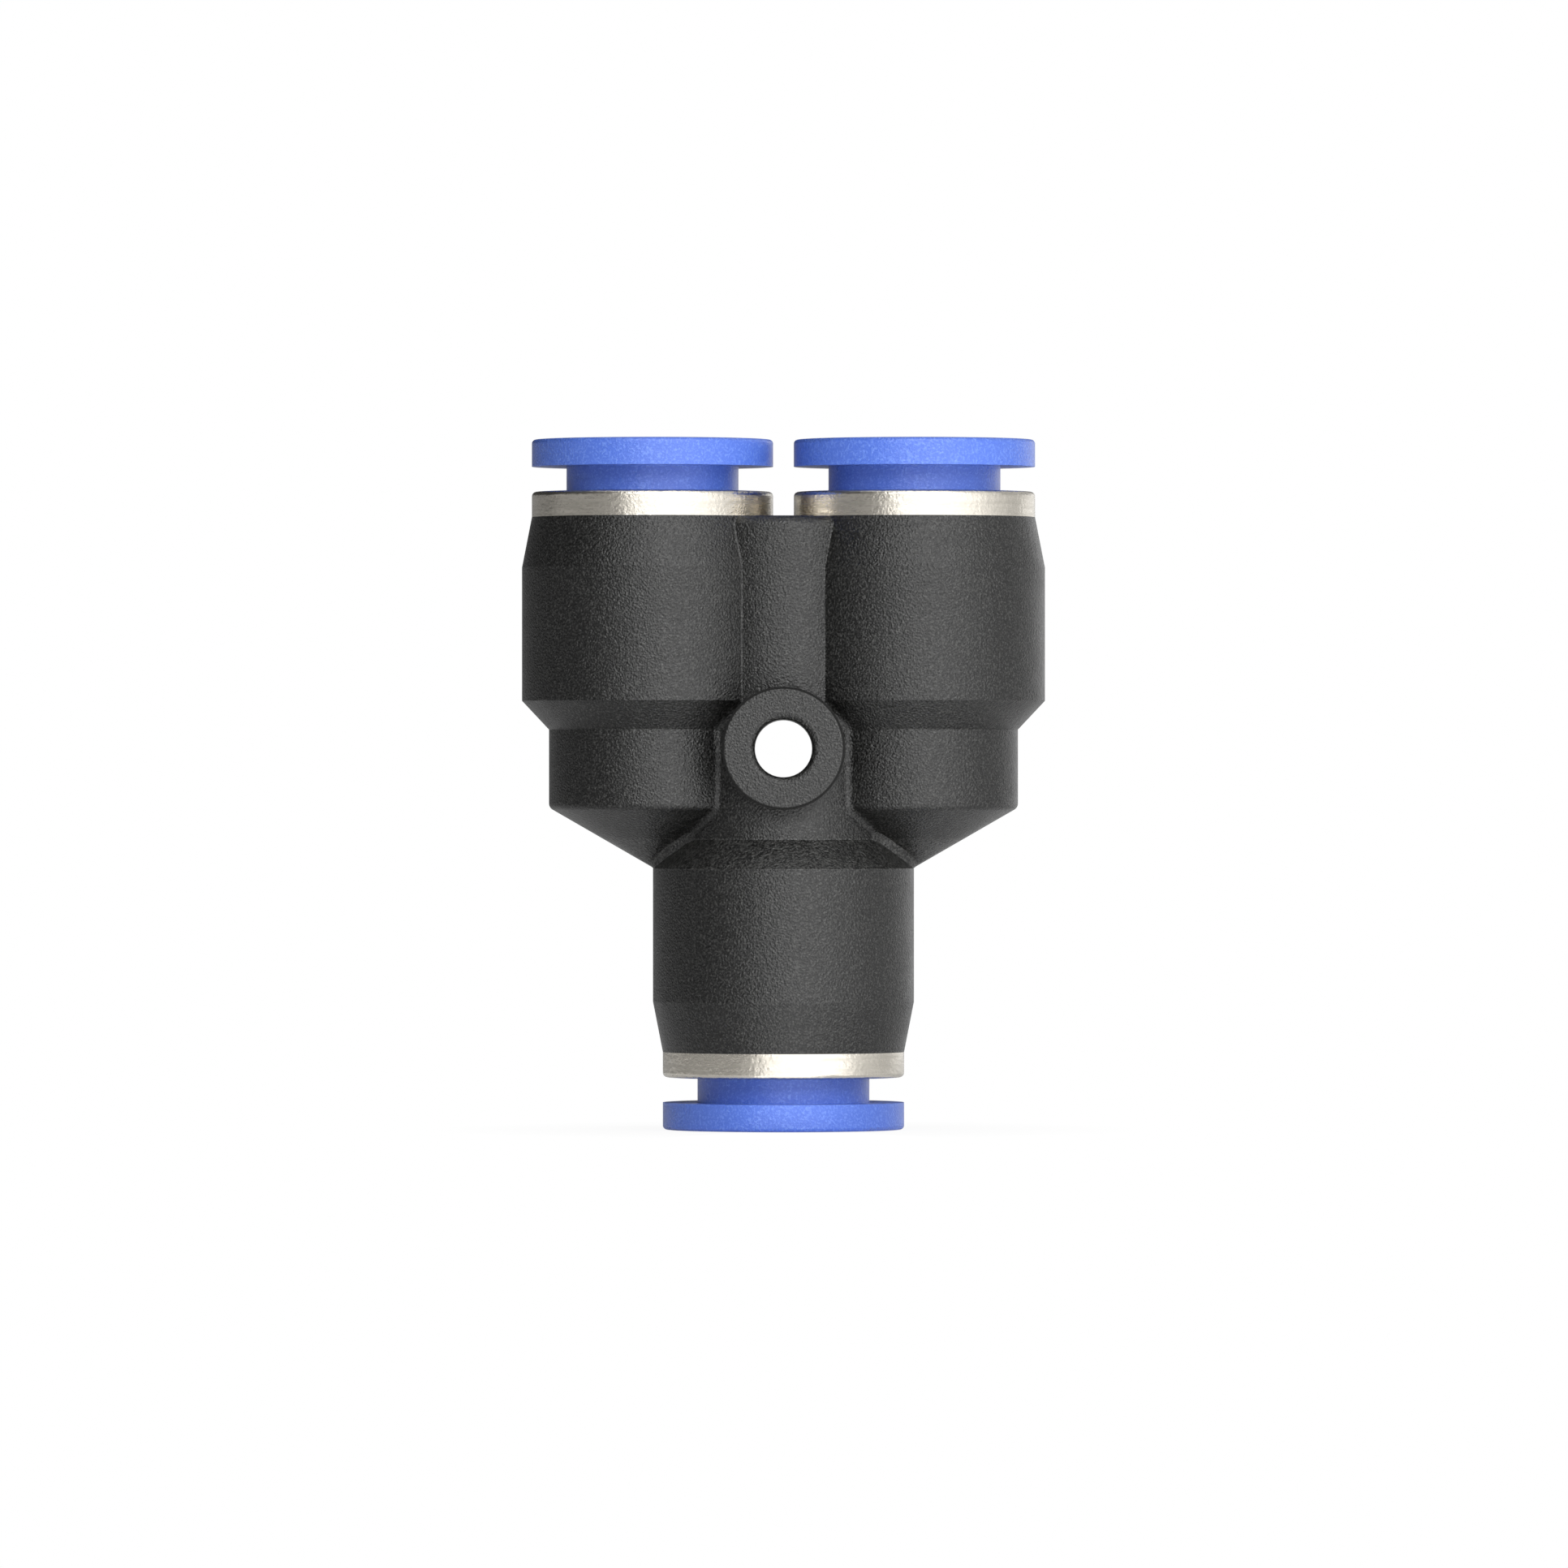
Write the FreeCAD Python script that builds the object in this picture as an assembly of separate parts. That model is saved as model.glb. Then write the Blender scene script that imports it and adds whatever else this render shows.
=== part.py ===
import FreeCAD, Part
import math
import os

from FreeCAD import Vector

# Union Y for 8 mm tube: one tube port below, two parallel ports above.
# Millimetres. Z is up along the lower port, X runs through the two upper
# ports, and -Y is the front. The origin is under the lower release collar.
# Each port is sized from the tube outward.

# Tube
TUBE_D = 8.0
TUBE_FIT = 0.1              # radial clearance round the tube
INSERTION = 15.0            # from the collar's face to the tube stop
OVERALL_H = 38.3            # from collar face to collar face

# Release collar
COLLAR_WALL = 0.675
FLANGE_H = 1.5
FLANGE_GAP = 1.4            # travel of the collar, and a little more
FLANGE_EDGE_R = 0.22
COLLAR_LEAD = 0.45          # chamfer at the mouth
BARB_W = 0.475              # barbs stand out from the collar's wall
BARB_H = 0.7
BARB_RAMP = 0.65
BARB_PLAY = 0.05            # end play under the ring's ledge
NOSE_WALL = 0.6
NOSE_DEPTH = 3.0
NOSE_CHAMFER = 0.35
COLLAR_SLOTS = 4
COLLAR_SLOT_W = 0.8
COLLAR_SLOT_RISE = 0.6      # slots end this far above the mouth

# End ring
COLLAR_RUN = 0.08           # running clearance round the collar
LIP_H = 1.4
LIP_EDGE_R = 0.25
LEDGE_DEPTH = 0.6           # the ledge that holds the collar
BARB_ROOM = 0.15            # between the collar's barbs and the skirt
SKIRT_WALL = 0.45
SKIRT_L = 3.6
SKIRT_RELIEF = 0.1          # skirt stands off the cavity between its teeth
SKIRT_TEETH = 3
SKIRT_TOOTH_L = 0.45
SKIRT_TOOTH_PITCH = 0.95
SKIRT_PRESS = 0.02          # teeth bite into the body by this much

# Toothed claw
CLAW_T = 0.3
CLAW_FIT = 0.1
CLAW_RIM_W = 1.0
CLAW_BITE = 0.13            # tooth tips inside the tube's surface
CLAW_ANGLE = 45.0
CLAW_TEETH = 12
CLAW_SLOT_W = 0.5

# Back-up ring
BACKUP_H = 2.0
BACKUP_FIT = 0.05
BACKUP_RIM_W = 0.8
BACKUP_RELIEF_H = 1.4

# Tube seal
GLAND_STEP = 0.4            # ledge between cavity and gland
GLAND_L = 2.1
SEAL_FIT = 0.02
SEAL_PLAY = 0.05            # end play in the gland
SEAL_SQUEEZE = 0.12         # ridge inside the tube's surface
SEAL_WEB = 0.85             # thickness beside the ridge
SEAL_RIDGE_W = 0.5

# Outside of the body
MOUTH_WALL = 0.75
CAVITY_LEAD = 0.2
TAPER_L = 2.8
TAPER_RISE = 0.55
BARREL_L = 10.2             # mouth to the start of the shoulder
SHOULDER_L = 1.6
SHOULDER_RISE = 1.5
PORT_GAP = 0.05             # between the two upper barrels
TIP_ANGLE = 30.0            # slope of the branch's conical end
TIP_RISE = 0.05             # apex above the lower barrel's shoulder
TIP_EDGE_R = 0.4
COLUMN_TOP_R = 0.65
ROOT_R = 0.4                # fillet where neck and tip run into the column
SEAM_R = 0.12               # fillet where barrel and taper run into the column
BEAD_R = 0.28               # bead in the crease between a branch's tip and the shoulder
BEAD_TOE = 0.35             # bead starts this far outside the tip's apex
BEAD_RISE = 0.02            # its foot above the lower barrel's edge
BEAD_OVER = 0.4             # its heads end this far up the column, inside the fillet
BEAD_SINK = 0.08            # its edges end this deep in the walls that it joins
BEAD_DEPTH = 0.1            # and its root this deep
BEAD_STEPS = 5

# Mounting boss, front and back
HOLE_D = 3.2
HOLE_EDGE_R = 0.375
HOLE_RISE = 2.0             # above mid-height
BOSS_WALL = 1.8
BOSS_EDGE_R = 0.2

# Flow passages
PASSAGE_INSET = 0.05        # radially inside the tube
PASSAGE_FLATS = 4.4         # across the two flats that leave the tube stop
PASSAGE_OVER = 1.35         # lower passage ends this far above the hole's axis
TIP_WALL = 1.4
HOLE_WALL = 1.25

# Radii, from the tube outward
TUBE_R = TUBE_D / 2
BORE_R = TUBE_R + TUBE_FIT
COLLAR_R = BORE_R + COLLAR_WALL
BARB_R = COLLAR_R + BARB_W
SKIRT_BORE_R = BARB_R + BARB_ROOM
SKIRT_R = SKIRT_BORE_R + SKIRT_WALL
CAVITY_R = SKIRT_R + SKIRT_RELIEF
GLAND_R = CAVITY_R - GLAND_STEP
MOUTH_R = CAVITY_R + MOUTH_WALL
BARREL_R = MOUTH_R + TAPER_RISE
NECK_R = BARREL_R - SHOULDER_RISE
PORT_X = BARREL_R + PORT_GAP / 2
PASSAGE_R = TUBE_R - PASSAGE_INSET
HOLE_R = HOLE_D / 2
BOSS_R = HOLE_R + BOSS_WALL

# Depths from a port's mouth
COLLAR_REACH = LIP_H + FLANGE_GAP + FLANGE_H
CLAW_DEPTH = SKIRT_L + CLAW_T
CAVITY_DEPTH = CLAW_DEPTH + BACKUP_H
GLAND_DEPTH = CAVITY_DEPTH + GLAND_L
STOP_DEPTH = INSERTION - COLLAR_REACH

# Heights
LOWER_MOUTH_Z = COLLAR_REACH
UPPER_MOUTH_Z = OVERALL_H - COLLAR_REACH
LOWER_BARREL_TOP_Z = LOWER_MOUTH_Z + BARREL_L
UPPER_BARREL_END_Z = UPPER_MOUTH_Z - BARREL_L
HOLE_Z = OVERALL_H / 2 + HOLE_RISE
TIP_Z = LOWER_BARREL_TOP_Z + TIP_RISE
TIP_SLOPE = math.tan(math.radians(TIP_ANGLE))
TIP_RIM_Z = TIP_Z + NECK_R * TIP_SLOPE
SHOULDER_SLOPE = SHOULDER_RISE / SHOULDER_L

# Each port: x of its axis, z of its mouth, turn about Y that aims it outward
PORTS = {
    "lower": (0.0, LOWER_MOUTH_Z, 180.0),
    "left": (-PORT_X, UPPER_MOUTH_Z, 0.0),
    "right": (PORT_X, UPPER_MOUTH_Z, 0.0),
}

OVERCUT = 0.5               # cutters pass the faces that they open
LEVEL = 0.01                # heights and radii nearer than this count as the same
JOINED = 1e-6               # points nearer than this are one point


def outline(corners):
    """Face in the XZ plane through corners (x, z) or (x, z, rounding)."""
    count = len(corners)
    points = [Vector(c[0], 0, c[1]) for c in corners]
    edges = []
    ends = []
    for i, corner in enumerate(corners):
        here = points[i]
        rounding = corner[2] if len(corner) > 2 else 0.0
        if not rounding:
            ends.append((here, here))
            continue
        back = (points[i - 1] - here).normalize()
        ahead = (points[(i + 1) % count] - here).normalize()
        half = back.getAngle(ahead) / 2
        reach = rounding / math.tan(half)
        inward = (back + ahead).normalize()
        middle = here + inward * (rounding / math.sin(half) - rounding)
        start, stop = here + back * reach, here + ahead * reach
        edges.append(Part.Arc(start, middle, stop).toShape())
        ends.append((start, stop))
    for i in range(count):
        start, stop = ends[i][1], ends[(i + 1) % count][0]
        if start.distanceToPoint(stop) > JOINED:
            edges.append(Part.LineSegment(start, stop).toShape())
    return Part.Face(Part.Wire(Part.__sortEdges__(edges)))


def turned(corners):
    """Solid of revolution about Z of an outline in (radius, z)."""
    return outline(corners).revolve(Vector(0, 0, 0), Vector(0, 0, 1), 360)


def at_port(shape, port):
    """Copy of a shape made on Z with the mouth at z = 0, set at a port."""
    x, z, turn = PORTS[port]
    placed = shape.copy()
    placed.rotate(Vector(0, 0, 0), Vector(0, 1, 0), turn)
    placed.translate(Vector(x, 0, z))
    return placed


def along_y(shape, z):
    """Copy of a shape made on Z and centred at z = 0, laid along Y."""
    laid = shape.copy()
    laid.rotate(Vector(0, 0, 0), Vector(1, 0, 0), 90)
    laid.translate(Vector(0, 0, z))
    return laid


def radial_slots(count, width, reach, low, high, rounded):
    """Cutters round Z, each from the axis out to a square or rounded end."""
    slots = []
    for i in range(count):
        slot = Part.makeBox(reach, width, high - low, Vector(0, -width / 2, low))
        if rounded:
            tip = Part.makeCylinder(width / 2, high - low, Vector(reach, 0, low))
            slot = slot.fuse(tip)
        slot.rotate(Vector(0, 0, 0), Vector(0, 0, 1), (i + 0.5) * 360.0 / count)
        slots.append(slot)
    return slots


def lower_barrel():
    top = -BARREL_L - SHOULDER_L
    return turned([
        (0, 0),
        (MOUTH_R, 0),
        (BARREL_R, -TAPER_L),
        (BARREL_R, -BARREL_L),
        (NECK_R, top),
        (0, top),
    ])


def branch():
    """Upper port: taper, barrel, shoulder, neck and conical tip."""
    return turned([
        (0, 0),
        (MOUTH_R, 0),
        (BARREL_R, -TAPER_L),
        (BARREL_R, -BARREL_L),
        (NECK_R, -BARREL_L - SHOULDER_L),
        (NECK_R, TIP_RIM_Z - UPPER_MOUTH_Z),
        (0, TIP_Z - UPPER_MOUTH_Z),
    ])


def column():
    """Core between the branches, as thick as their necks."""
    foot = LOWER_BARREL_TOP_Z
    return turned([
        (0, foot),
        (NECK_R, foot),
        (NECK_R, UPPER_MOUTH_Z, COLUMN_TOP_R),
        (0, UPPER_MOUTH_Z),
    ])


def edge_radii(shape):
    """Numbers and radii of the column's seams and of the two tip rims."""
    radii = []
    for number, edge in enumerate(shape.Edges, 1):
        middle = edge.valueAt((edge.FirstParameter + edge.LastParameter) / 2)
        on_column = abs(math.hypot(middle.x, middle.y) - NECK_R) < LEVEL
        level = edge.BoundBox.ZLength < LEVEL
        if on_column and not level:
            radius = ROOT_R if middle.z < UPPER_BARREL_END_Z else SEAM_R
            radii.append((number, radius, radius))
        elif level and abs(middle.z - TIP_RIM_Z) < LEVEL:
            radii.append((number, TIP_EDGE_R, TIP_EDGE_R))
    return radii


def blended(shape, radii):
    """Fillet numbered edges in one pass, each with its own radius."""
    bench = FreeCAD.newDocument("blend")
    plain = bench.addObject("Part::Feature", "Plain")
    plain.Shape = shape
    fillet = bench.addObject("Part::Fillet", "Fillet")
    fillet.Base = plain
    fillet.Edges = radii
    bench.recompute()
    result = fillet.Shape.copy()
    FreeCAD.closeDocument(bench.Name)
    return result


def tip_reach(z):
    """Radius of a branch's conical tip at a height."""
    return (z - TIP_Z) / TIP_SLOPE


def shoulder_reach(z):
    """Radius of the lower shoulder's cone at a height."""
    return BARREL_R - (z - LOWER_BARREL_TOP_Z) * SHOULDER_SLOPE


def crossing(port_radius, axis_radius, z):
    """Front point at those distances from the left branch's axis and the middle axis."""
    x = (port_radius ** 2 - axis_radius ** 2 - PORT_X ** 2) / (2 * PORT_X)
    return Vector(x, -math.sqrt(axis_radius ** 2 - x ** 2), z)


def sunk(on_tip, on_shoulder, root):
    """Triangle whose outer side runs past both of its points, into the walls."""
    sink = (on_tip - on_shoulder).normalize() * BEAD_SINK
    return [on_tip + sink, on_shoulder - sink, root]


def bead_section(height, root_z):
    """Bead's triangle at a ball of its radius, which rests on tip and shoulder."""
    lean = math.radians(TIP_ANGLE)
    fall = math.atan(SHOULDER_SLOPE)
    from_port = tip_reach(height) + BEAD_R / math.sin(lean)
    from_axis = shoulder_reach(height) + BEAD_R / math.cos(fall)
    ball = crossing(from_port, from_axis, height)
    to_port = Vector(-PORT_X - ball.x, -ball.y, 0) / from_port
    to_axis = Vector(-ball.x, -ball.y, 0) / from_axis
    up = Vector(0, 0, BEAD_R)
    on_tip = ball + to_port * (BEAD_R * math.sin(lean)) + up * math.cos(lean)
    on_shoulder = ball + to_axis * (BEAD_R * math.cos(fall)) - up * math.sin(fall)
    root = crossing(tip_reach(root_z) - BEAD_DEPTH, shoulder_reach(root_z) - BEAD_DEPTH, root_z)
    return sunk(on_tip, on_shoulder, root)


def crease_bead():
    """Bead along the crease under the left branch, from the front round to the back."""
    foot_z = LOWER_BARREL_TOP_Z + BEAD_RISE
    low = foot_z + BEAD_R * math.sin(math.atan(SHOULDER_SLOPE))
    high = LOWER_BARREL_TOP_Z + SHOULDER_L + BEAD_OVER
    spare = PORT_X - BARREL_R + 2 * BEAD_DEPTH + TIP_RISE / TIP_SLOPE
    root_z = LOWER_BARREL_TOP_Z + spare / (1 / TIP_SLOPE - SHOULDER_SLOPE)
    root_rise = root_z + BEAD_RISE - low
    heights = [high + (low - high) * i / BEAD_STEPS for i in range(BEAD_STEPS + 1)]
    front = [bead_section(height, height + root_rise) for height in heights]
    toe = sunk(
        Vector(-PORT_X - BEAD_TOE, 0, TIP_Z + BEAD_TOE * TIP_SLOPE),
        Vector(-shoulder_reach(foot_z), 0, foot_z),
        Vector(BEAD_DEPTH - shoulder_reach(root_z), 0, root_z),
    )
    back = [[Vector(p.x, -p.y, p.z) for p in corners] for corners in reversed(front)]
    wires = [Part.makePolygon(corners + corners[:1]) for corners in [*front, toe, *back]]
    return Part.makeLoft(wires, True, False)


def boss():
    """Round boss through the column, as high as the barrels on both sides."""
    blank = turned([
        (0, -BARREL_R),
        (BOSS_R, -BARREL_R, BOSS_EDGE_R),
        (BOSS_R, BARREL_R, BOSS_EDGE_R),
        (0, BARREL_R),
    ])
    return along_y(blank, HOLE_Z)


def cavity():
    """Stepped bore of a port: ring and claw, seal gland, tube socket."""
    return turned([
        (0, OVERCUT),
        (CAVITY_R + CAVITY_LEAD + OVERCUT, OVERCUT),
        (CAVITY_R, -CAVITY_LEAD),
        (CAVITY_R, -CAVITY_DEPTH),
        (GLAND_R, -CAVITY_DEPTH),
        (GLAND_R, -GLAND_DEPTH),
        (BORE_R, -GLAND_DEPTH),
        (BORE_R, -STOP_DEPTH),
        (0, -STOP_DEPTH),
    ])


def passage(x, low, high):
    """Flow bore with two flats, between two heights."""
    bore = Part.makeCylinder(PASSAGE_R, high - low, Vector(x, 0, low))
    corner = Vector(x - PASSAGE_R, -PASSAGE_FLATS / 2, low)
    slab = Part.makeBox(2 * PASSAGE_R, PASSAGE_FLATS, high - low, corner)
    return bore.common(slab)


def passages():
    """Lower bore, split by the wall round the mounting hole, and two upper bores."""
    stop_z = LOWER_MOUTH_Z + STOP_DEPTH
    island = Part.makeCylinder(HOLE_R + HOLE_WALL, 2 * BARREL_R, Vector(0, 0, -BARREL_R))
    lower = passage(0.0, stop_z, HOLE_Z + PASSAGE_OVER).cut(along_y(island, HOLE_Z))
    floor_z = TIP_Z + TIP_WALL / math.cos(math.radians(TIP_ANGLE))
    rim_z = floor_z + PASSAGE_R * TIP_SLOPE
    top_z = UPPER_MOUTH_Z - STOP_DEPTH
    pocket = turned([(0, floor_z), (PASSAGE_R, rim_z), (PASSAGE_R, top_z), (0, top_z)])
    cutters = [lower]
    for x in (-PORT_X, PORT_X):
        coned = pocket.copy()
        coned.translate(Vector(x, 0, 0))
        cutters.append(passage(x, floor_z, top_z).common(coned))
    return cutters


def body():
    left = branch()
    left.rotate(Vector(0, 0, 0), Vector(0, 0, 1), 180)
    limbs = [at_port(left, "left"), at_port(branch(), "right"), column()]
    trunk = at_port(lower_barrel(), "lower").fuse(limbs).removeSplitter()
    bead = crease_bead()
    beads = [bead, bead.mirror(Vector(0, 0, 0), Vector(1, 0, 0))]
    shell = blended(trunk, edge_radii(trunk)).fuse([*beads, boss()])
    foot = Vector(0, 0, -BARREL_R - OVERCUT)
    hole = Part.makeCylinder(HOLE_R, 2 * (BARREL_R + OVERCUT), foot)
    cutters = [at_port(cavity(), port) for port in PORTS]
    shell = shell.cut(cutters + passages() + [along_y(hole, HOLE_Z)])
    rims = [
        edge
        for edge in shell.Edges
        if edge.Closed and edge.BoundBox.YLength < LEVEL
        and abs(edge.BoundBox.XLength - HOLE_D) < LEVEL
    ]
    return shell.makeFillet(HOLE_EDGE_R, rims)


def end_ring():
    """Turned ring: a lip on the mouth and a toothed skirt pressed into the cavity."""
    bore_r = COLLAR_R + COLLAR_RUN
    crest_r = CAVITY_R + SKIRT_PRESS
    teeth = []
    for i in range(SKIRT_TEETH):
        root_z = -SKIRT_L + i * SKIRT_TOOTH_PITCH
        crest_z = root_z + SKIRT_TOOTH_L
        teeth += [(SKIRT_R, root_z), (crest_r, crest_z), (SKIRT_R, crest_z)]
    return turned([
        (bore_r, LIP_H),
        (bore_r, -LEDGE_DEPTH),
        (SKIRT_BORE_R, -LEDGE_DEPTH),
        (SKIRT_BORE_R, -SKIRT_L),
        *teeth,
        (SKIRT_R, 0),
        (MOUTH_R, 0),
        (MOUTH_R, LIP_H, LIP_EDGE_R),
    ])


def release_collar():
    """Flanged sleeve: barbs catch under the ring and the slotted nose opens the claw."""
    top = COLLAR_REACH
    flange_z = LIP_H + FLANGE_GAP
    barb_z = -LEDGE_DEPTH - BARB_PLAY
    ramp_z = barb_z - BARB_H
    nose_r = BORE_R + NOSE_WALL
    blank = turned([
        (BORE_R, top - COLLAR_LEAD),
        (BORE_R + COLLAR_LEAD, top),
        (MOUTH_R, top, FLANGE_EDGE_R),
        (MOUTH_R, flange_z),
        (COLLAR_R, flange_z),
        (COLLAR_R, barb_z),
        (BARB_R, barb_z),
        (BARB_R, ramp_z),
        (nose_r, ramp_z - BARB_RAMP),
        (nose_r, -NOSE_DEPTH + NOSE_CHAMFER),
        (nose_r - NOSE_CHAMFER, -NOSE_DEPTH),
        (BORE_R, -NOSE_DEPTH),
    ])
    low = -NOSE_DEPTH - OVERCUT
    slots = radial_slots(COLLAR_SLOTS, COLLAR_SLOT_W, CAVITY_R, low, COLLAR_SLOT_RISE, False)
    return blank.cut(slots)


def grip_claw():
    """Sheet ring whose teeth lean inward and hold the tube."""
    lean = math.radians(CLAW_ANGLE)
    rim_r = CAVITY_R - CLAW_FIT
    root_r = rim_r - CLAW_RIM_W
    tip_r = TUBE_R - CLAW_BITE
    top = -SKIRT_L
    tip_z = top - (root_r - tip_r) * math.tan(lean)
    under_r = root_r + CLAW_T * math.tan(lean / 2)
    blank = turned([
        (root_r, top),
        (rim_r, top),
        (rim_r, -CLAW_DEPTH),
        (under_r, -CLAW_DEPTH),
        (tip_r + CLAW_T * math.sin(lean), tip_z - CLAW_T * math.cos(lean)),
        (tip_r, tip_z),
    ])
    reach = root_r - CLAW_SLOT_W / 2
    slots = radial_slots(CLAW_TEETH, CLAW_SLOT_W, reach, -CAVITY_DEPTH, 0, True)
    return blank.cut(slots)


def backup_ring():
    """Ring between claw and seal, coned out to let the teeth spread."""
    outer_r = CAVITY_R - BACKUP_FIT
    return turned([
        (BORE_R, -CLAW_DEPTH - BACKUP_RELIEF_H),
        (outer_r - BACKUP_RIM_W, -CLAW_DEPTH),
        (outer_r, -CLAW_DEPTH),
        (outer_r, -CAVITY_DEPTH),
        (BORE_R, -CAVITY_DEPTH),
    ])


def tube_seal():
    """Moulded seal: flat in its gland, with a ridge inside that the tube spreads."""
    outer_r = GLAND_R - SEAL_FIT
    web_r = outer_r - SEAL_WEB
    ridge_r = TUBE_R - SEAL_SQUEEZE
    top = -CAVITY_DEPTH - SEAL_PLAY
    bottom = -GLAND_DEPTH + SEAL_PLAY
    middle = (top + bottom) / 2
    return turned([
        (outer_r, top),
        (outer_r, bottom),
        (web_r, bottom),
        (ridge_r, middle - SEAL_RIDGE_W / 2),
        (ridge_r, middle + SEAL_RIDGE_W / 2),
        (web_r, top),
    ])


PORT_PIECES = {
    "end_ring": end_ring,
    "release_collar": release_collar,
    "grip_claw": grip_claw,
    "backup_ring": backup_ring,
    "tube_seal": tube_seal,
}

os.makedirs("parts", exist_ok=True)
body().exportStep("parts/body.step")
for piece, make in PORT_PIECES.items():
    made = make()
    for port in PORTS:
        at_port(made, port).exportStep(f"parts/{piece}_{port}.step")
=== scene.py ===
import math

import bpy
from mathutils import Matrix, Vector


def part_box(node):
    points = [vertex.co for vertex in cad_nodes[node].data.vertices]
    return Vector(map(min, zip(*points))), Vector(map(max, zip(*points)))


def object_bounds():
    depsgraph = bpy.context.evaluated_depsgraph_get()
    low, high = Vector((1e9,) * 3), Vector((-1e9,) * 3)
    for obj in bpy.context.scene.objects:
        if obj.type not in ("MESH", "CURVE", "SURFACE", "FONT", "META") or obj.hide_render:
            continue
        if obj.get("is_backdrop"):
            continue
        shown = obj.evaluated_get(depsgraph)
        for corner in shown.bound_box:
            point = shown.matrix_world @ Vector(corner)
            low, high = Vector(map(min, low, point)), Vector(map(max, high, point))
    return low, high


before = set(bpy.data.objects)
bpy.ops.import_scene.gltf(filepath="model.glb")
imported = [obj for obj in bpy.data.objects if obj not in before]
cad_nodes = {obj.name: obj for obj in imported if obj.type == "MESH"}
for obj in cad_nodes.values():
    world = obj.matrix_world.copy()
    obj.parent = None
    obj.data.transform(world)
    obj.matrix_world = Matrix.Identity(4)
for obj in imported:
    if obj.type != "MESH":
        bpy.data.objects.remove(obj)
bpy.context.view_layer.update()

# Body: one injection moulding of black nylon, with the lower barrel, two branches,
# the column and the mounting boss. The spark-eroded mould leaves a grain on it, whose
# peaks carry light flecks that are painted glints, coarser on the lower shoulder. A
# painted shade darkens the boss's rounded edge, which is also rougher there.
BODY_DARK = (0.003, 0.003, 0.0028, 1)
# Colour of the light flecks on the grain's peaks, which are painted glints.
BODY_PAINTED_GLINT = (0.054, 0.054, 0.0515, 1)
BODY_ROUGHNESS = (0.29, 0.36)
GRAIN_SIZE = 0.00011
GRAIN_DEPTH = 0.00008
GRAIN_PITS = 0.35
SHOULDER_MIDDLE = 0.01532
SHOULDER_HALF = 0.00085
SHOULDER_GRAIN = 0.00016
SHOULDER_GLINT_GAIN = 2.0
BOSS_Z = 0.02115
# Ring of painted shade on the boss's rounded edge, which is also made rougher there.
BOSS_EDGE_R = 0.003325
BOSS_SHADE_W = 0.000075
BOSS_SHADE_CORE = 0.7
BOSS_EDGE_DULL = 0.7
PIT_SCALE = 0.8
DRIFT_SCALE = 0.06
FLECK_BAND = (0.48, 0.72)
DRIFT_BAND = (0.35, 0.65)


def connect(tree, node, **inputs):
    """Links or sets the named inputs of a shader node."""
    for key, value in inputs.items():
        socket = node.inputs[key.replace("_", " ")]
        if isinstance(value, bpy.types.NodeSocket):
            tree.links.new(value, socket)
        else:
            socket.default_value = value


def place(tree, kind, **inputs):
    """Adds a shader node, with its named inputs linked or set."""
    node = tree.nodes.new(kind)
    connect(tree, node, **inputs)
    return node


def point_on(tree):
    """The shaded point of the piece, in metres from the fitting's origin."""
    return tree.nodes.new("ShaderNodeTexCoord").outputs["Object"]


def calc(tree, operation, *terms):
    """A Math node on values or sockets, as its output socket."""
    node = tree.nodes.new("ShaderNodeMath")
    node.operation = operation
    for socket, term in zip(node.inputs, terms):
        if isinstance(term, bpy.types.NodeSocket):
            tree.links.new(term, socket)
        else:
            socket.default_value = term
    return node.outputs[0]


def diagonal(tree, first, second):
    """Distance that two offsets at right angles make together."""
    squares = [calc(tree, "MULTIPLY", offset, offset) for offset in (first, second)]
    return calc(tree, "SQRT", calc(tree, "ADD", *squares))


def spread(tree, value, low, high, start=0.0, end=1.0):
    """A value's stretch from start to end, spread from low to high."""
    node = place(
        tree,
        "ShaderNodeMapRange",
        Value=value,
        From_Min=start,
        From_Max=end,
        To_Min=low,
        To_Max=high,
    )
    return node.outputs["Result"]


def mixed(tree, share, first, second):
    """Two colours mixed by a mask."""
    node = tree.nodes.new("ShaderNodeMix")
    node.data_type = "RGBA"
    colours = [socket for socket in node.inputs if socket.type == "RGBA"]
    tree.links.new(share, node.inputs[0])
    colours[0].default_value = first
    colours[1].default_value = second
    return next(socket for socket in node.outputs if socket.type == "RGBA")


def new_effect(name, inputs, outputs):
    """An empty shader node group with named float inputs and outputs."""
    group = bpy.data.node_groups.new(name, "ShaderNodeTree")
    for label, default in inputs.items():
        socket = group.interface.new_socket(label, in_out="INPUT", socket_type="NodeSocketFloat")
        socket.default_value = default
    for label in outputs:
        group.interface.new_socket(label, in_out="OUTPUT", socket_type="NodeSocketFloat")
    return group, group.nodes.new("NodeGroupInput"), group.nodes.new("NodeGroupOutput")


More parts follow.
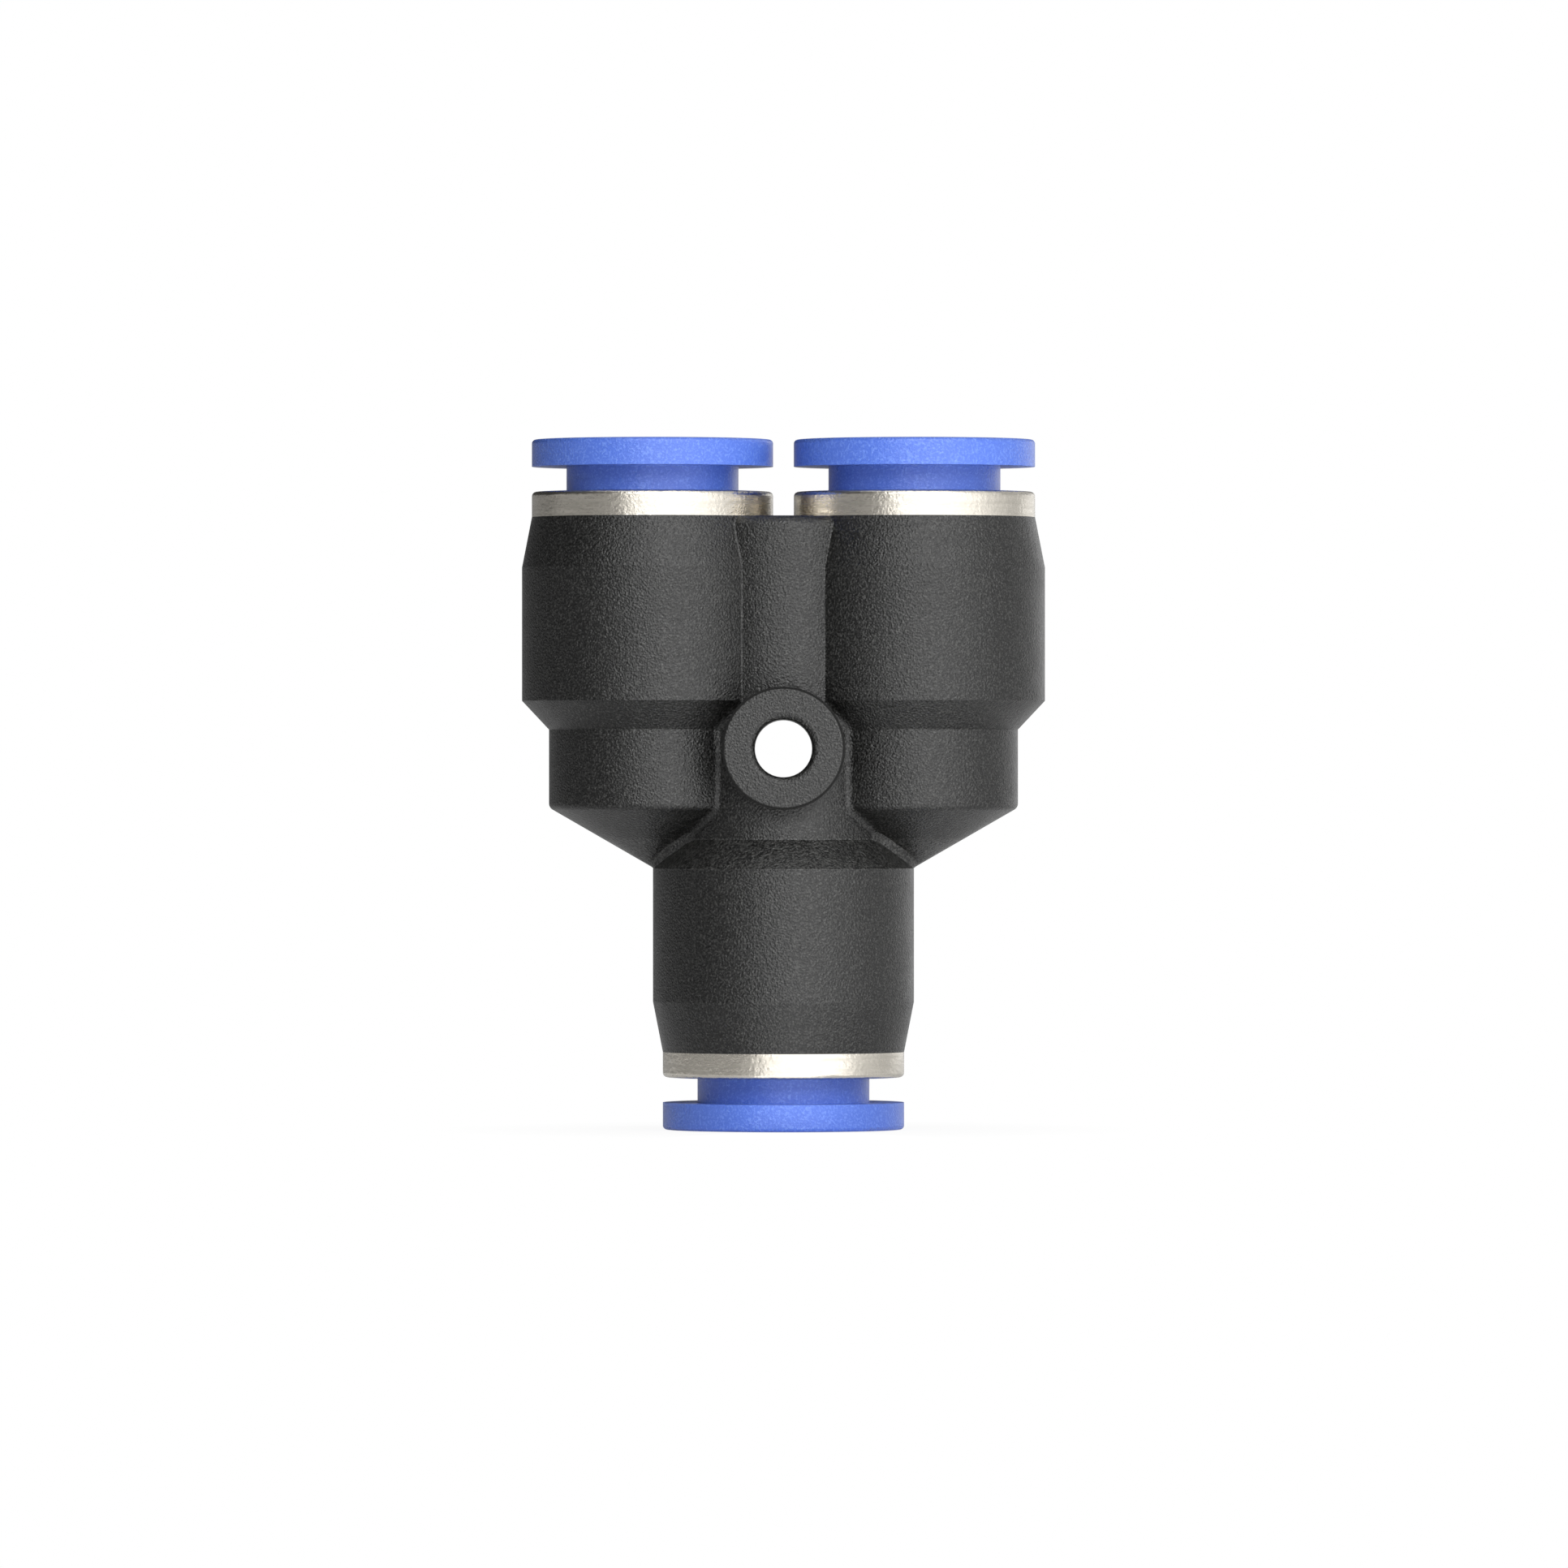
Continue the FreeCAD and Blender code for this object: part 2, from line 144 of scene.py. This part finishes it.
def moulded_grain():
    """Effect of a grained mould: pits, light flecks on the peaks, and slow drifts."""
    group, given, result = new_effect(
        "moulded_grain",
        {"Grain size": 0.0002, "Pit share": 0.3},
        ("Height", "Fleck", "Drift"),
    )
    pit_share = given.outputs["Pit share"]
    scaled = group.nodes.new("ShaderNodeVectorMath")
    scaled.operation = "SCALE"
    fine = calc(group, "DIVIDE", 1.0, given.outputs["Grain size"])
    connect(group, scaled, Vector=point_on(group), Scale=fine)
    grains = scaled.outputs[0]
    peaks = place(group, "ShaderNodeTexNoise", Vector=grains, Scale=1.0, Detail=2.0, Roughness=0.6)
    cells = place(group, "ShaderNodeTexVoronoi", Vector=grains, Scale=PIT_SCALE)
    slow = place(group, "ShaderNodeTexNoise", Vector=grains, Scale=DRIFT_SCALE, Detail=3.0, Roughness=0.6)
    noise_part = calc(group, "MULTIPLY", peaks.outputs[0], calc(group, "SUBTRACT", 1.0, pit_share))
    pit_part = calc(group, "MULTIPLY", cells.outputs["Distance"], pit_share)
    connect(
        group,
        result,
        Height=calc(group, "ADD", noise_part, pit_part),
        Fleck=spread(group, peaks.outputs[0], 0.0, 1.0, *FLECK_BAND),
        Drift=spread(group, slow.outputs[0], 0.0, 1.0, *DRIFT_BAND),
    )
    return group


def material(name):
    """An empty material, its node tree and its Principled shader."""
    made = bpy.data.materials.new(name)
    made.use_nodes = True
    shader = next(node for node in made.node_tree.nodes if node.type == "BSDF_PRINCIPLED")
    return made, made.node_tree, shader


def effect(tree, group, **values):
    """Places an effect group in a material, with its own values."""
    node = tree.nodes.new("ShaderNodeGroup")
    node.node_tree = group
    connect(tree, node, **values)
    return node


def raised(tree, shader, height, depth):
    """Feeds a height of that depth in metres to the shader's normal."""
    bump = place(tree, "ShaderNodeBump", Strength=1.0, Distance=depth, Height=height)
    connect(tree, shader, Normal=bump.outputs["Normal"])


def finish_node(node, made):
    """Gives a CAD node its material."""
    for slot in cad_nodes[node].material_slots:
        slot.material = made


grain = moulded_grain()
black_nylon, tree, shader = material("black_nylon")
skin = effect(tree, grain, Grain_size=GRAIN_SIZE, Pit_share=GRAIN_PITS)
at = place(tree, "ShaderNodeSeparateXYZ", Vector=point_on(tree))
# Painted shade: near the boss's edge radius the mask below drops to 0, so the colour goes to BODY_DARK
# and the roughness rises.
from_hole = diagonal(tree, at.outputs["X"], calc(tree, "SUBTRACT", at.outputs["Z"], BOSS_Z))
off_edge = calc(tree, "ABSOLUTE", calc(tree, "SUBTRACT", from_hole, BOSS_EDGE_R))
clear = spread(tree, off_edge, 0.0, 1.0, BOSS_SHADE_W * BOSS_SHADE_CORE, BOSS_SHADE_W)
satin = spread(tree, skin.outputs["Drift"], *BODY_ROUGHNESS)
# Painted glints: coarser and denser light flecks are added to the colour on the lower shoulder.
on_shoulder = calc(tree, "COMPARE", at.outputs["Z"], SHOULDER_MIDDLE, SHOULDER_HALF)
coarse = effect(tree, grain, Grain_size=SHOULDER_GRAIN, Pit_share=0.0)
gain = spread(tree, on_shoulder, 0.0, SHOULDER_GLINT_GAIN)
shoulder_glints = calc(tree, "MULTIPLY", coarse.outputs["Fleck"], gain)
flecks = calc(tree, "MAXIMUM", skin.outputs["Fleck"], shoulder_glints)
connect(
    tree,
    shader,
    Base_Color=mixed(tree, calc(tree, "MULTIPLY", flecks, clear), BODY_DARK, BODY_PAINTED_GLINT),
    Roughness=calc(tree, "ADD", satin, spread(tree, clear, BOSS_EDGE_DULL, 0.0)),
)
raised(tree, shader, skin.outputs["Height"], GRAIN_DEPTH)
finish_node("body", black_nylon)

# Tube seals: one moulded nitrile ring in the gland at the bottom of each port.
# The rubber is black and slightly dull, with a bloom of grey on it.
PORTS = ("lower", "left", "right")
SEAL_COLOUR = (0.012, 0.012, 0.012, 1)
SEAL_BLOOM = (0.03, 0.03, 0.032, 1)
SEAL_ROUGHNESS = (0.45, 0.65)
SEAL_GRAIN = 0.00012
SEAL_GRAIN_DEPTH = 0.000004

nitrile, tree, shader = material("nitrile_rubber")
skin = effect(tree, grain, Grain_size=SEAL_GRAIN, Pit_share=0.0)
connect(
    tree,
    shader,
    Base_Color=mixed(tree, skin.outputs["Drift"], SEAL_COLOUR, SEAL_BLOOM),
    Roughness=spread(tree, skin.outputs["Drift"], *SEAL_ROUGHNESS),
)
raised(tree, shader, skin.outputs["Height"], SEAL_GRAIN_DEPTH)
for port in PORTS:
    finish_node("tube_seal_" + port, nitrile)

# Back-up rings: natural white acetal, turned from rod, between seal and claw.
# Each rests on the ledge above its seal and lets the claw's teeth spread.
ACETAL_WHITE = (0.62, 0.61, 0.58, 1)
ACETAL_SHADE = (0.55, 0.54, 0.5, 1)
ACETAL_ROUGHNESS = (0.35, 0.45)
ACETAL_GRAIN = 0.00016
ACETAL_GRAIN_DEPTH = 0.000004
ACETAL_PITS = 0.2

white_acetal, tree, shader = material("white_acetal")
skin = effect(tree, grain, Grain_size=ACETAL_GRAIN, Pit_share=ACETAL_PITS)
connect(
    tree,
    shader,
    Base_Color=mixed(tree, skin.outputs["Drift"], ACETAL_WHITE, ACETAL_SHADE),
    Roughness=spread(tree, skin.outputs["Drift"], *ACETAL_ROUGHNESS),
)
raised(tree, shader, skin.outputs["Height"], ACETAL_GRAIN_DEPTH)
for port in PORTS:
    finish_node("backup_ring_" + port, white_acetal)

# Grip claws: stainless spring strip, stamped into a ring with slotted teeth that
# lean inward. The strip's rolling lines run straight across each ring.
STEEL_BRIGHT = (0.6, 0.6, 0.585, 1)
STEEL_LINE = (0.46, 0.46, 0.45, 1)
STEEL_ROUGHNESS = (0.22, 0.38)
STRIP_LINES = (400.0, 14000.0, 14000.0)
STRIP_LINE_DEPTH = 0.000002

spring_steel, tree, shader = material("spring_steel")
stretched = place(tree, "ShaderNodeMapping", Vector=point_on(tree), Scale=STRIP_LINES)
lines = place(tree, "ShaderNodeTexNoise", Vector=stretched.outputs[0], Scale=1.0, Detail=2.0)
connect(
    tree,
    shader,
    Base_Color=mixed(tree, lines.outputs[0], STEEL_BRIGHT, STEEL_LINE),
    Roughness=spread(tree, lines.outputs[0], *STEEL_ROUGHNESS),
    Metallic=1.0,
)
raised(tree, shader, lines.outputs[0], STRIP_LINE_DEPTH)
for port in PORTS:
    finish_node("grip_claw_" + port, spring_steel)

# End rings: turned brass with bright nickel plating, pressed into each mouth by
# the toothed skirt. Under the plating the tool's marks run round the port.
NICKEL = (0.76, 0.715, 0.635, 1)
NICKEL_LINE = (0.62, 0.585, 0.515, 1)
NICKEL_ROUGHNESS = (0.2, 0.32)
MARK_PITCH = 0.00009
MARK_DEPTH = 0.000004
MARK_SPAN = 10.0
MARK_CLIMB = 1.6
BLOT_SCALE = 0.25
BLOT_BAND = (0.3, 0.7)
PEEL_SIZE = 0.00024
PEEL_DEPTH = 0.00003


def lathe_marks():
    """Effect of turning: fine lines round the axis, on walls and flat faces."""
    group, given, result = new_effect(
        "lathe_marks",
        {"Axis X": 0.0, "Line pitch": 0.0001, "Span": 5.0},
        ("Height", "Streak"),
    )
    split = place(group, "ShaderNodeSeparateXYZ", Vector=point_on(group))
    across = calc(group, "SUBTRACT", split.outputs["X"], given.outputs["Axis X"])
    deep = split.outputs["Y"]
    radius = diagonal(group, across, deep)
    turn = calc(group, "DIVIDE", given.outputs["Span"], radius)
    along = calc(group, "ADD", radius, calc(group, "MULTIPLY", split.outputs["Z"], MARK_CLIMB))
    on_line = place(
        group,
        "ShaderNodeCombineXYZ",
        X=calc(group, "MULTIPLY", across, turn),
        Y=calc(group, "MULTIPLY", deep, turn),
        Z=calc(group, "DIVIDE", along, given.outputs["Line pitch"]),
    )
    spot = on_line.outputs[0]
    lines = place(group, "ShaderNodeTexNoise", Vector=spot, Scale=1.0, Detail=3.0, Roughness=0.65)
    blots = place(group, "ShaderNodeTexNoise", Vector=spot, Scale=BLOT_SCALE, Detail=2.0)
    streak = spread(group, blots.outputs[0], 0.0, 1.0, *BLOT_BAND)
    connect(group, result, Height=lines.outputs[0], Streak=streak)
    return group


marks = lathe_marks()
for port in PORTS:
    low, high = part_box("end_ring_" + port)
    nickel, tree, shader = material("nickel_plate_" + port)
    turned = effect(tree, marks, Axis_X=(low.x + high.x) / 2, Line_pitch=MARK_PITCH, Span=MARK_SPAN)
    peel = effect(tree, grain, Grain_size=PEEL_SIZE, Pit_share=0.0)
    connect(
        tree,
        shader,
        Base_Color=mixed(tree, turned.outputs["Streak"], NICKEL, NICKEL_LINE),
        Roughness=spread(tree, turned.outputs["Streak"], *NICKEL_ROUGHNESS),
        Metallic=1.0,
    )
    lines_part = calc(tree, "MULTIPLY", turned.outputs["Height"], MARK_DEPTH)
    peel_part = calc(tree, "MULTIPLY", peel.outputs["Height"], PEEL_DEPTH)
    raised(tree, shader, calc(tree, "ADD", lines_part, peel_part), 1.0)
    finish_node("end_ring_" + port, nickel)

# Release collars: blue acetal, moulded with a flange, a neck that slides in the
# ring and a slotted nose. The skin is smooth and satin, with a very fine grain.
BLUE = (0.083, 0.17, 0.65, 1)
BLUE_PALE = (0.162, 0.285, 0.79, 1)
BLUE_ROUGHNESS = (0.26, 0.34)
BLUE_GRAIN = 0.00013
BLUE_GRAIN_DEPTH = 0.000036
BLUE_PITS = 0.15

blue_acetal, tree, shader = material("blue_acetal")
skin = effect(tree, grain, Grain_size=BLUE_GRAIN, Pit_share=BLUE_PITS)
connect(
    tree,
    shader,
    Base_Color=mixed(tree, skin.outputs["Fleck"], BLUE, BLUE_PALE),
    Roughness=spread(tree, skin.outputs["Drift"], *BLUE_ROUGHNESS),
)
raised(tree, shader, skin.outputs["Height"], BLUE_GRAIN_DEPTH)
for port in PORTS:
    finish_node("release_collar_" + port, blue_acetal)

# Floor: a plain white sheet that the fitting stands on. Seen directly or in the
# nickel it is white away from the fitting. Near it the white glow fades into the
# matt, lamp-lit sheet, which keeps a part of the real shadow and is painted a little
# darker there. In mirrors that painted shade is deeper and reaches much further.
FLOOR_RADIUS = 0.9
FLOOR_SIDES = 96
FLOOR_DROP = 0.00002
FLOOR_SHADE = 0.12
SHADE_REACH = 0.02
MIRRORED_SHADE = 0.9
MIRRORED_REACH = 0.16
FLOOR_WHITE = (0.9, 0.9, 0.9, 1)
PURE_WHITE = (1, 1, 1, 1)


def seen_rays(tree):
    """Masks of the rays from the camera, and of those from a mirror or clear glass."""
    path = tree.nodes.new("ShaderNodeLightPath")
    mirrored = calc(tree, "MAXIMUM", path.outputs["Is Glossy Ray"], path.outputs["Is Transmission Ray"])
    return path.outputs["Is Camera Ray"], mirrored


bpy.ops.mesh.primitive_circle_add(
    vertices=FLOOR_SIDES,
    radius=FLOOR_RADIUS,
    fill_type="NGON",
    location=(0, 0, -FLOOR_DROP),
)
floor = bpy.context.object
floor.name = "floor"
floor_paint = bpy.data.materials.new("floor_paint")
floor_paint.use_nodes = True
tree = floor_paint.node_tree
tree.nodes.clear()
away = tree.nodes.new("ShaderNodeVectorMath")
away.operation = "LENGTH"
connect(tree, away, Vector=point_on(tree))
reach = away.outputs["Value"]
direct, mirrored = seen_rays(tree)
# Painted shade: the glow fades out towards the fitting, a little for direct rays, and more and further
# for mirrored ones.
bright = spread(tree, reach, 1.0 - FLOOR_SHADE, 1.0, 0.0, SHADE_REACH)
bright_mirrored = spread(tree, reach, 1.0 - MIRRORED_SHADE, 1.0, 0.0, MIRRORED_REACH)
direct_glow = calc(tree, "MULTIPLY", direct, bright)
mirrored_glow = calc(tree, "MULTIPLY", mirrored, bright_mirrored)
matt = place(tree, "ShaderNodeBsdfDiffuse", Color=FLOOR_WHITE)
white = place(tree, "ShaderNodeEmission", Color=PURE_WHITE, Strength=1.0)
both = place(tree, "ShaderNodeMixShader", Fac=calc(tree, "MAXIMUM", direct_glow, mirrored_glow))
tree.links.new(matt.outputs[0], both.inputs[1])
tree.links.new(white.outputs[0], both.inputs[2])
place(tree, "ShaderNodeOutputMaterial", Surface=both.outputs[0])
floor.data.materials.append(floor_paint)
floor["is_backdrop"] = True

# Studio: a white surround, a bright strip softbox above the front, weaker ones
# below it, beside it and overhead, lit cards on the floor, and grey screens.
MIDDLE = Vector((0, 0, 0.019))
SURROUND_LIGHT = 0.34
SOFTBOXES = {
    # azimuth and elevation from the front, distance, width, height, brightness
    "key": (-5, 18, 0.6, 0.34, 0.76, 0.35),
    "strip": (12, 28, 0.6, 0.66, 0.27, 4.2),
    "fill": (27, 4, 0.6, 0.42, 0.46, 0.5),
    "side": (55, 4, 0.6, 0.24, 0.44, 0.5),
    "top": (0, 68, 0.6, 0.5, 0.28, 0.6),
}
FAR = 0.5
LIFT = 0.0001
CARDS = {
    # start and end azimuth, section as points of radius and height, brightness
    "left_screen": (-26, -105, ((0.03, LIFT), (FAR, LIFT), (FAR, 0.13)), 0.36),
    "back_card": (-105, -180, ((0.012, LIFT), (0.12, LIFT)), 0.55),
    "back_screen": (-105, -194, ((0.12, LIFT), (FAR, LIFT), (FAR, 0.08)), 0.27),
    "left_flag": (-26, -105, ((FAR, 0.13), (FAR, 1.0)), 0.07),
    "back_flag": (-105, -194, ((FAR, 0.08), (FAR, 1.0)), 0.04),
    "side_screen": (82, 100, ((0.03, LIFT), (FAR, LIFT), (FAR, 0.7)), 0.8),
    "right_screen": (100, 124, ((0.03, LIFT), (FAR, LIFT), (FAR, 0.13)), 0.6),
    "right_band": (124, 165, ((FAR, 0.05), (FAR, 0.13)), 1.35),
    "right_high": (100, 166, ((FAR, 0.13), (FAR, 1.0)), 0.55),
    "front_card": (-15, 62, ((0.019, LIFT), (0.35, LIFT)), 2.0),
    "near_card": (-20, 26, ((0.008, LIFT), (0.019, LIFT)), 1.7),
}
CARD_STEPS = 24


def around(azimuth, elevation, distance):
    """Point round the fitting. Azimuth 0 is in front of it, and 90 to its right."""
    a, e = math.radians(azimuth), math.radians(elevation)
    way = Vector((math.sin(a) * math.cos(e), -math.cos(a) * math.cos(e), math.sin(e)))
    return MIDDLE + way * distance


for name, (azimuth, elevation, distance, width, height, brightness) in SOFTBOXES.items():
    lamp = bpy.data.lights.new(name, "AREA")
    lamp.shape = "RECTANGLE"
    lamp.size = width
    lamp.size_y = height
    lamp.energy = brightness * math.pi * width * height
    softbox = bpy.data.objects.new(name, lamp)
    bpy.context.scene.collection.objects.link(softbox)
    softbox.location = around(azimuth, elevation, distance)
    softbox.rotation_euler = (MIDDLE - softbox.location).to_track_quat("-Z", "Y").to_euler()
    softbox.visible_camera = False

for name, (start, end, section, brightness) in CARDS.items():
    points = []
    for step in range(CARD_STEPS + 1):
        for radius, height in section:
            foot = around(start + (end - start) * step / CARD_STEPS, 0, radius)
            points.append((foot.x, foot.y, height))
    count = len(section)
    faces = [
        (i + j, i + j + count, i + j + count + 1, i + j + 1)
        for i in range(0, count * CARD_STEPS, count)
        for j in range(count - 1)
    ]
    sheet = bpy.data.meshes.new(name)
    sheet.from_pydata(points, [], faces)
    card = bpy.data.objects.new(name, sheet)
    bpy.context.scene.collection.objects.link(card)
    cloth = bpy.data.materials.new(name + "_cloth")
    cloth.use_nodes = True
    tree = cloth.node_tree
    tree.nodes.clear()
    glow = place(tree, "ShaderNodeEmission", Color=PURE_WHITE, Strength=brightness)
    place(tree, "ShaderNodeOutputMaterial", Surface=glow.outputs[0])
    sheet.materials.append(cloth)
    card.visible_camera = False
    card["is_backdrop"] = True

world = bpy.data.worlds.new("surround")
bpy.context.scene.world = world
world.use_nodes = True
tree = world.node_tree
backdrop = next(node for node in tree.nodes if node.type == "BACKGROUND")
seen = calc(tree, "MAXIMUM", *seen_rays(tree))
connect(tree, backdrop, Color=PURE_WHITE, Strength=spread(tree, seen, SURROUND_LIGHT, 1.0))

# Camera: straight in front, level with the fitting's middle, with a long lens.
# The frame's width at the fitting follows from the lens and the distance.
CAMERA_DISTANCE = 0.744
CAMERA_HEIGHT = 0.01918
CAMERA_SIDE = 0.00003
SENSOR = 36.0
FRAME_WIDTH = 0.0871
NEAREST = 0.01
FARTHEST = 10.0

lens = bpy.data.cameras.new("camera")
lens.sensor_width = SENSOR
lens.lens = SENSOR * CAMERA_DISTANCE / FRAME_WIDTH
lens.clip_start = NEAREST
lens.clip_end = FARTHEST
camera = bpy.data.objects.new("camera", lens)
bpy.context.scene.collection.objects.link(camera)
camera.location = (CAMERA_SIDE, -CAMERA_DISTANCE, CAMERA_HEIGHT)
camera.rotation_euler = (math.radians(90), 0, 0)
bpy.context.scene.camera = camera
bpy.context.scene.view_settings.view_transform = "Standard"

low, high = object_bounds()
